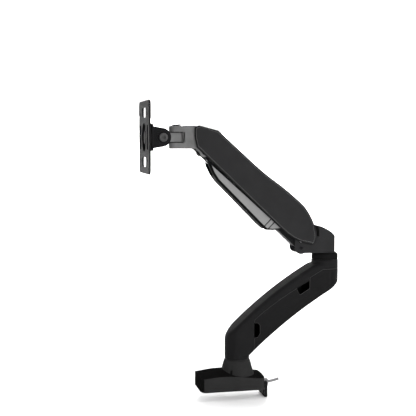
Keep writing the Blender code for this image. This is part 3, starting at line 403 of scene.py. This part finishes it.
def make_tie_tree():
    """A strap of a given width and thickness along a curve, with a row of small teeth across one face."""
    tree = bpy.data.node_groups.new("toothed_strap", "GeometryNodeTree")
    tree.interface.new_socket("Path", in_out="INPUT", socket_type="NodeSocketGeometry")
    for label in ("Width", "Thickness", "Tooth Pitch"):
        tree.interface.new_socket(label, in_out="INPUT", socket_type="NodeSocketFloat")
    tree.interface.new_socket("Finish", in_out="INPUT", socket_type="NodeSocketMaterial")
    tree.interface.new_socket("Strap", in_out="OUTPUT", socket_type="NodeSocketGeometry")
    inp, out = tree.nodes.new("NodeGroupInput"), tree.nodes.new("NodeGroupOutput")
    section = tree.nodes.new("GeometryNodeCurvePrimitiveQuadrilateral")
    tree.links.new(inp.outputs["Thickness"], section.inputs["Width"])
    tree.links.new(inp.outputs["Width"], section.inputs["Height"])
    sweep = tree.nodes.new("GeometryNodeCurveToMesh")
    sweep.inputs["Fill Caps"].default_value = True
    tree.links.new(inp.outputs["Path"], sweep.inputs["Curve"])
    tree.links.new(section.outputs["Curve"], sweep.inputs["Profile Curve"])
    spots = tree.nodes.new("GeometryNodeCurveToPoints")
    spots.mode = "LENGTH"
    tree.links.new(inp.outputs["Path"], spots.inputs["Curve"])
    tree.links.new(inp.outputs["Tooth Pitch"], spots.inputs["Length"])
    size = tree.nodes.new("ShaderNodeCombineXYZ")
    for axis, share in (("X", 1.45), ("Y", 0.62), ("Z", 0.42)):
        part = tree.nodes.new("ShaderNodeMath")
        part.operation = "MULTIPLY"
        part.inputs[1].default_value = share
        source = {"X": "Thickness", "Y": "Width", "Z": "Tooth Pitch"}[axis]
        tree.links.new(inp.outputs[source], part.inputs[0])
        tree.links.new(part.outputs["Value"], size.inputs[axis])
    tooth = tree.nodes.new("GeometryNodeMeshCube")
    tree.links.new(size.outputs["Vector"], tooth.inputs["Size"])
    row = tree.nodes.new("GeometryNodeInstanceOnPoints")
    tree.links.new(spots.outputs["Points"], row.inputs["Points"])
    tree.links.new(spots.outputs["Rotation"], row.inputs["Rotation"])
    tree.links.new(tooth.outputs["Mesh"], row.inputs["Instance"])
    both = tree.nodes.new("GeometryNodeJoinGeometry")
    tree.links.new(row.outputs["Instances"], both.inputs["Geometry"])
    tree.links.new(sweep.outputs["Mesh"], both.inputs["Geometry"])
    real = tree.nodes.new("GeometryNodeRealizeInstances")
    tree.links.new(both.outputs["Geometry"], real.inputs["Geometry"])
    dress = tree.nodes.new("GeometryNodeSetMaterial")
    tree.links.new(real.outputs["Geometry"], dress.inputs["Geometry"])
    tree.links.new(inp.outputs["Finish"], dress.inputs["Material"])
    tree.links.new(dress.outputs["Geometry"], out.inputs["Strap"])
    return tree


def grown(name, data, tree, values, body):
    """Runs a Geometry Nodes tree on a curve, and keeps the result as a plain mesh that rides on a body."""
    seed = bpy.data.objects.new(name + "_seed", data)
    bpy.context.scene.collection.objects.link(seed)
    modifier = seed.modifiers.new(name, "NODES")
    modifier.node_group = tree
    for socket in tree.interface.items_tree:
        if socket.in_out == "INPUT" and socket.name in values:
            modifier[socket.identifier] = values[socket.name]
    shape = bpy.data.meshes.new_from_object(seed.evaluated_get(bpy.context.evaluated_depsgraph_get()))
    bpy.data.objects.remove(seed)
    piece = bpy.data.objects.new(name, shape)
    bpy.context.scene.collection.objects.link(piece)
    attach(piece, body)
    return piece


flange_low, flange_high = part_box("base_plate")
LOOP_GAP = 0.0009
loop_x = (flange_high[0] - 0.0042 - LOOP_GAP, flange_high[0] + LOOP_GAP)
loop_z = (tie_low[2] + 0.0007, tie_high[2] - 0.0012)
mid_x = sum(loop_x) / 2
loop_route = [
    (loop_x[1], TIE_MIDDLE_Y, sum(loop_z) / 2),
    (loop_x[1], TIE_MIDDLE_Y, loop_z[0]),
    (mid_x, TIE_MIDDLE_Y, loop_z[0]),
    (loop_x[0], TIE_MIDDLE_Y, loop_z[0]),
    (loop_x[0], TIE_MIDDLE_Y, sum(loop_z) / 2),
    (loop_x[0], TIE_MIDDLE_Y, loop_z[1]),
    (mid_x, TIE_MIDDLE_Y, loop_z[1]),
    (loop_x[1], TIE_MIDDLE_Y, loop_z[1]),
    (loop_x[1], TIE_MIDDLE_Y, sum(loop_z) / 2),
]
tail_end = (tie_high[0] - 0.0050, TIE_MIDDLE_Y, tie_high[2] - 0.0012)
tail_start = (loop_x[1] + 0.0008, TIE_MIDDLE_Y, 0.0105)
tail_route = [tail_start]
for share in (0.18, 0.4, 0.6, 0.8, 1.0):
    x = tail_start[0] + (tail_end[0] - tail_start[0]) * share
    z = tail_start[2] + (tail_end[2] - tail_start[2]) * share ** 1.3
    tail_route.append((x, TIE_MIDDLE_Y, z))
tie_tree = make_tie_tree()
tie_values = {
    "Width": TIE_WIDTH,
    "Thickness": TIE_THICKNESS,
    "Tooth Pitch": TIE_TOOTH_PITCH,
    "Finish": tie_nylon,
}
tie_loop = grown("tie_loop", curve_through("loop_path", loop_route), tie_tree, tie_values, "base")
tie_tail = grown("tie_tail", curve_through("tail_path", tail_route), tie_tree, tie_values, "base")
head_mesh = bpy.data.meshes.new("tie_lock")
bm = bmesh.new()
bmesh.ops.create_cube(bm, size=1.0)
lock_size = Matrix.Diagonal((0.0036, 0.0050, 0.0046, 1))
bmesh.ops.transform(bm, matrix=Matrix.Translation(tail_start) @ lock_size, verts=bm.verts)
bmesh.ops.bevel(bm, geom=bm.edges, offset=0.0006, segments=3, profile=0.5, affect="EDGES")
for vert in bm.verts:
    if vert.co.x > tail_start[0]:
        vert.co.z += (tail_start[2] - vert.co.z) * 0.18
bm.to_mesh(head_mesh)
bm.free()
head_mesh.materials.append(tie_nylon)
tie_lock = bpy.data.objects.new("tie_lock", head_mesh)
bpy.context.scene.collection.objects.link(tie_lock)
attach(tie_lock, "base")
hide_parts("cable_tie")

# ---------------------------------------------------------------- lower arm casting
# Die-cast aluminium with a barrel on the post and a boss at the elbow, powder coated satin black.

powder_coat = finish_with(
    "satin_black_powder_coat", (0.0072, 0.0072, 0.0075), (0.03, 0.03, 0.03), 0.55, bump=0.35, gloss=0.2,
    Grain_Size=1500.0, Edge_Amount=0.4, Dust=0.015,
)
softened("lower_arm_casting", 0.0006, powder_coat, flat=0.1)

# ---------------------------------------------------------------- lower cable cover
# A black ABS clip-on cover under the casting, smoother than the casting and a shade lighter.

# The cover's strong edge colour and the lighter, non-reflecting lip on its broken edges draw a light line
# along the parting with the casting: partly rubbed wear, partly a painted highlight.
cover_plastic = finish_with(
    "cable_cover_plastic", (0.0038, 0.0038, 0.004), (0.05, 0.05, 0.05), 0.55, bump=0.2, gloss=0.2, coat=0.05,
    Grain_Size=1000.0, Edge_Amount=0.8, Edge_Width=0.0009, Mottle=0.4, Dust=0.015,
)
cover_lip = finish_with(
    "cable_cover_lip", (0.035, 0.035, 0.035), (0.08, 0.08, 0.08), 0.75,
    bump=0.2, gloss=0.02, ior=1.05, Dust=0.0
)
softened("lower_cable_cover", 0.0005, cover_plastic, rim=cover_lip, flat=0.1)

# ---------------------------------------------------------------- elbow
# A friction collar of black acetal, and above it the die-cast knuckle that the upper arm hangs on.

collar_plastic = finish_with(
    "collar_acetal", (0.005, 0.005, 0.005), (0.05, 0.05, 0.05), 0.5,
    bump=0.06, gloss=0.05, Edge_Amount=0.3, Dust=0.0
)
softened("elbow_ring", 0.0004, collar_plastic)
knuckle_coat = finish_with(
    "knuckle_powder_coat", (0.0165, 0.0165, 0.017), (0.06, 0.06, 0.06), 0.55, bump=0.4, gloss=0.05,
    Grain_Size=1500.0, Mottle=0.4, Edge_Amount=0.4, Dust=0.02,
)
softened("elbow_knuckle", 0.0008, knuckle_coat)

# ---------------------------------------------------------------- upper arm shell
# A charcoal ABS shell with flat sides, matt and finely textured, and a raised panel on each side.

# Painted shade: the shell's edge colour is a little darker than its face, and its broken edges take a
# near-black rim with almost no reflection, standing in for the shade along its rounded edges.
shell_plastic = finish_with(
    "charcoal_shell_plastic", (0.0165, 0.0165, 0.017), (0.012, 0.012, 0.012), 0.65, bump=0.5, gloss=0.04,
    Grain_Size=1300.0, Mottle=0.35, Edge_Amount=0.3, Edge_Width=0.0005, Dust=0.02,
)
shell_edge = finish_with(
    "shell_edge_plastic", (0.004, 0.004, 0.004), (0.012, 0.012, 0.012), 0.7,
    bump=0.3, gloss=0.02, ior=1.03, Dust=0.0
)
softened("upper_cover", 0.0012, shell_plastic, 3, rim=shell_edge)
# Painted highlight: the panels' edge colour is far lighter than their face and runs round every edge, and
# their broken edges take a lighter rim material, which together paint a light line round each panel.
panel_plastic = finish_with(
    "side_panel_plastic", (0.0165, 0.0165, 0.017), (0.20, 0.20, 0.20), 0.6, bump=0.5, gloss=0.04,
    Grain_Size=1300.0, Mottle=0.35, Edge_Amount=1.0, Edge_Width=0.0012, Dust=0.0,
)
panel_rim = finish_with(
    "side_panel_rim", (0.075, 0.075, 0.075), (0.16, 0.16, 0.16), 0.55, bump=0.3, gloss=0.1, Dust=0.0
)
softened("cover_panel_near", 0.0007, panel_plastic, rim=panel_rim)
softened("cover_panel_far", 0.0007, panel_plastic, rim=panel_rim)

# ---------------------------------------------------------------- channel and gas spring
# A pressed steel channel carries the load; the spring's cylinder is painted black and its rod is chromed.

channel_steel = metal_with("galvanised_channel", (0.36, 0.36, 0.37), 0.42, 300.0)
softened("upper_channel", 0.0004, channel_steel)
softened("gas_cylinder", 0.0004, black_coat_steel)
paint(bright_steel, "spring_rod", "spring_pin", "head_pin")
for pin in ("lift_pin", "link_pin_rear", "link_pin_front"):
    softened(pin, 0.0003, black_coat_steel)

# ---------------------------------------------------------------- lower link and cable tray
# The second link is a black steel channel; the tray clipped under it is black ABS with light grey strips.

softened("lower_link", 0.0004, black_coat_steel)
tray_plastic = finish_with(
    "tray_plastic", (0.0030, 0.0030, 0.0030), (0.015, 0.015, 0.015), 0.6,
    bump=0.15, gloss=0.1, Edge_Amount=0.2, Dust=0.0
)
softened("cable_tray", 0.0005, tray_plastic)
strip_plastic = finish_with(
    "tray_strip_plastic", (0.165, 0.165, 0.165), (0.24, 0.24, 0.24), 0.55,
    bump=0.2, gloss=0.1, Mottle=0.2, Dust=0.0
)
for strip in ("tray_side", "tray_clip", "tray_tail"):
    for side in ("near", "far"):
        softened(f"{strip}_{side}", 0.0003, strip_plastic, rim=tray_plastic)

# ---------------------------------------------------------------- head
# The fork and the pan knuckle are grey powder-coated castings. The tilt bracket and the screen plate
# are black
# steel, and nylon seals fill the gaps above and below the knuckle.

grey_coat = finish_with(
    "grey_powder_coat", (0.108, 0.108, 0.108), (0.15, 0.15, 0.15), 0.55, bump=0.6, gloss=0.12,
    Grain_Size=1300.0, Mottle=0.9, Edge_Amount=0.5, Dust=0.0,
)
# Painted shade: a near-black coat for the broken edges of the fork and the pan knuckle, and for the fork's
# underside faces, standing in for the shade on their rims and under the fork.
fork_edge = finish_with(
    "fork_edge_coat", (0.010, 0.010, 0.010), (0.03, 0.03, 0.03), 0.6, bump=0.3, gloss=0.05, Dust=0.0
)
fork = softened("head_fork", 0.0010, grey_coat, 3, rim=fork_edge)
bolt_low, bolt_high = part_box("tilt_bolt")
FORK_HALF_HEIGHT = 0.0185
fork_underside = (bolt_low[2] + bolt_high[2]) / 2 - FORK_HALF_HEIGHT
# Faces of the fork below its underside line get the painted shade.
for face in fork.data.polygons:
    if face.center.z < fork_underside:
        face.material_index = 1
softened("pan_knuckle", 0.0006, grey_coat, rim=fork_edge)
bolt_coat = finish_with(
    "bolt_black_oxide", (0.042, 0.042, 0.042), (0.12, 0.12, 0.12), 0.4,
    bump=0.2, gloss=0.3, Mottle=0.5, Dust=0.0
)
softened("tilt_bolt", 0.0003, bolt_coat)
softened("pan_pin", 0.0003, black_coat_steel)
paint(zinc_steel, "pan_nut", "tilt_nut", "turn_nut")
# The seals stand in for the washers but are made wider and thicker than them, so that they close the gaps
# between the tongue and the prongs with black nylon, a dark fill that stands in for the shade in those gaps.
PAN_SEAL_R = 0.0112
PAN_SEAL_STEPS = 64
PAN_SEAL_SWELL = 0.00027
for washer in ("pan_washer_top", "pan_washer_bottom"):
    washer_low, washer_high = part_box(washer)
    centre = [(a + b) / 2 for a, b in zip(washer_low, washer_high)]
    bore = 0.0040
    seal_mesh = bpy.data.meshes.new("seal_" + washer)
    bm = bmesh.new()
    loops = []
    z_low, z_high = washer_low[2] - PAN_SEAL_SWELL, washer_high[2] + PAN_SEAL_SWELL
    for radius, z in ((bore, z_low), (PAN_SEAL_R, z_low), (PAN_SEAL_R, z_high), (bore, z_high)):
        loop = []
        for step in range(PAN_SEAL_STEPS):
            turn = math.tau * step / PAN_SEAL_STEPS
            loop.append(bm.verts.new((centre[0] + radius * math.cos(turn),
            centre[1] + radius * math.sin(turn), z)))
        loops.append(loop)
    for k in range(4):
        here, there = loops[k], loops[(k + 1) % 4]
        for step in range(PAN_SEAL_STEPS):
            after = (step + 1) % PAN_SEAL_STEPS
            bm.faces.new((here[step], here[after], there[after], there[step]))
    bmesh.ops.recalc_face_normals(bm, faces=bm.faces)
    bm.to_mesh(seal_mesh)
    bm.free()
    seal_mesh.materials.append(black_nylon)
    seal = bpy.data.objects.new("seal_" + washer, seal_mesh)
    bpy.context.scene.collection.objects.link(seal)
    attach(seal, nodes[washer]["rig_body"])
    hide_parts(washer)
softened("tilt_bracket", 0.0006, black_coat_steel)
for washer in ("tilt_washer_near", "tilt_washer_far"):
    softened(washer, 0.0002, black_coat_steel)
softened("turn_stud", 0.0003, black_coat_steel)
softened("vesa_plate", 0.0004, black_coat_steel)

# ---------------------------------------------------------------- studio
# A plain pale floor that runs up into the background, soft lights in front, behind and to the left, and a
# long lens.

paper = bpy.data.materials.new("studio_paper")
paper.use_nodes = True
paper.node_tree.nodes["Principled BSDF"].inputs["Base Color"].default_value = (0.95, 0.95, 0.95, 1)
paper.node_tree.nodes["Principled BSDF"].inputs["Roughness"].default_value = 0.9
floor_mesh = bpy.data.meshes.new("studio_floor")
FLOOR_Z = cad_low[2] - 0.0004
profile = [(-3.0, FLOOR_Z), (1.2, FLOOR_Z)]
for i in range(1, 13):
    turn = math.radians(90 * i / 12)
    profile.append((1.2 + math.sin(turn) * 1.2, FLOOR_Z + 1.2 * (1 - math.cos(turn))))
profile.append((2.4, 5.0))
corners = [(x, y, z) for y, z in profile for x in (-6.0, 6.0)]
faces = [(2 * i, 2 * i + 1, 2 * i + 3, 2 * i + 2) for i in range(len(profile) - 1)]
floor_mesh.from_pydata(corners, [], faces)
floor_mesh.materials.append(paper)
floor_mesh.shade_smooth()
floor = bpy.data.objects.new("studio_floor", floor_mesh)
bpy.context.scene.collection.objects.link(floor)

# The air looks white, and lights the arm more from the right and the front than from the left.
world = bpy.data.worlds.new("studio_air")
world.use_nodes = True
air = world.node_tree
air.nodes["Background"].inputs["Color"].default_value = (1, 1, 1, 1)
heading = air.nodes.new("ShaderNodeTexCoord")
lit_from = add(air, "ShaderNodeVectorMath", operation="DOT_PRODUCT")
lit_from.inputs[1].default_value = (0.88, -0.42, 0.15)
air.links.new(heading.outputs["Generated"], lit_from.inputs[0])
ramp = add(air, "ShaderNodeMapRange", clamp=True)
ramp.interpolation_type = "SMOOTHSTEP"
for label, value in (("From Min", -0.9), ("From Max", 0.9), ("To Min", 0.05), ("To Max", 1.5)):
    ramp.inputs[label].default_value = value
air.links.new(lit_from.outputs["Value"], ramp.inputs["Value"])
ray = air.nodes.new("ShaderNodeLightPath")
seen = add(air, "ShaderNodeMix", data_type="FLOAT")
air.links.new(ray.outputs["Is Camera Ray"], seen.inputs["Factor"])
air.links.new(ramp.outputs["Result"], seen.inputs["A"])
seen.inputs["B"].default_value = 1.0
air.links.new(seen.outputs["Result"], air.nodes["Background"].inputs["Strength"])
bpy.context.scene.world = world
bpy.context.scene.view_settings.view_transform = "Standard"


def soft_light(name, place, target, width, height, power, shows_in_gloss=True):
    """A rectangular area light aimed at a point."""
    lamp = bpy.data.lights.new(name, "AREA")
    lamp.shape = "RECTANGLE"
    lamp.size = width
    lamp.size_y = height
    lamp.energy = power
    made = bpy.data.objects.new(name, lamp)
    made.location = place
    made.visible_camera = False
    made.visible_glossy = shows_in_gloss
    made.rotation_euler = (Vector(target) - Vector(place)).to_track_quat("-Z", "Y").to_euler()
    bpy.context.scene.collection.objects.link(made)


middle = (0.05, 0.0, 0.22)
soft_light("front_strip", (0.17, -1.5, 0.35), middle, 0.12, 1.0, 14)
soft_light("edge_strip", (0.94, -1.39, 0.4), middle, 0.05, 1.0, 7)
soft_light("back_fill", (0.5, 1.9, 1.0), middle, 1.2, 1.2, 60, False)
soft_light("left_fill", (-2.2, 0.9, 0.8), middle, 1.0, 1.0, 24, False)

camera_data = bpy.data.cameras.new("camera")
camera_data.lens = 77.9
camera_data.sensor_width = 36.0
camera = bpy.data.objects.new("camera", camera_data)
camera.location = (-0.36005, -1.45842, 0.42340)
camera.rotation_euler = (math.radians(85.5), 0, math.radians(-12.0))
bpy.context.scene.collection.objects.link(camera)
bpy.context.scene.camera = camera
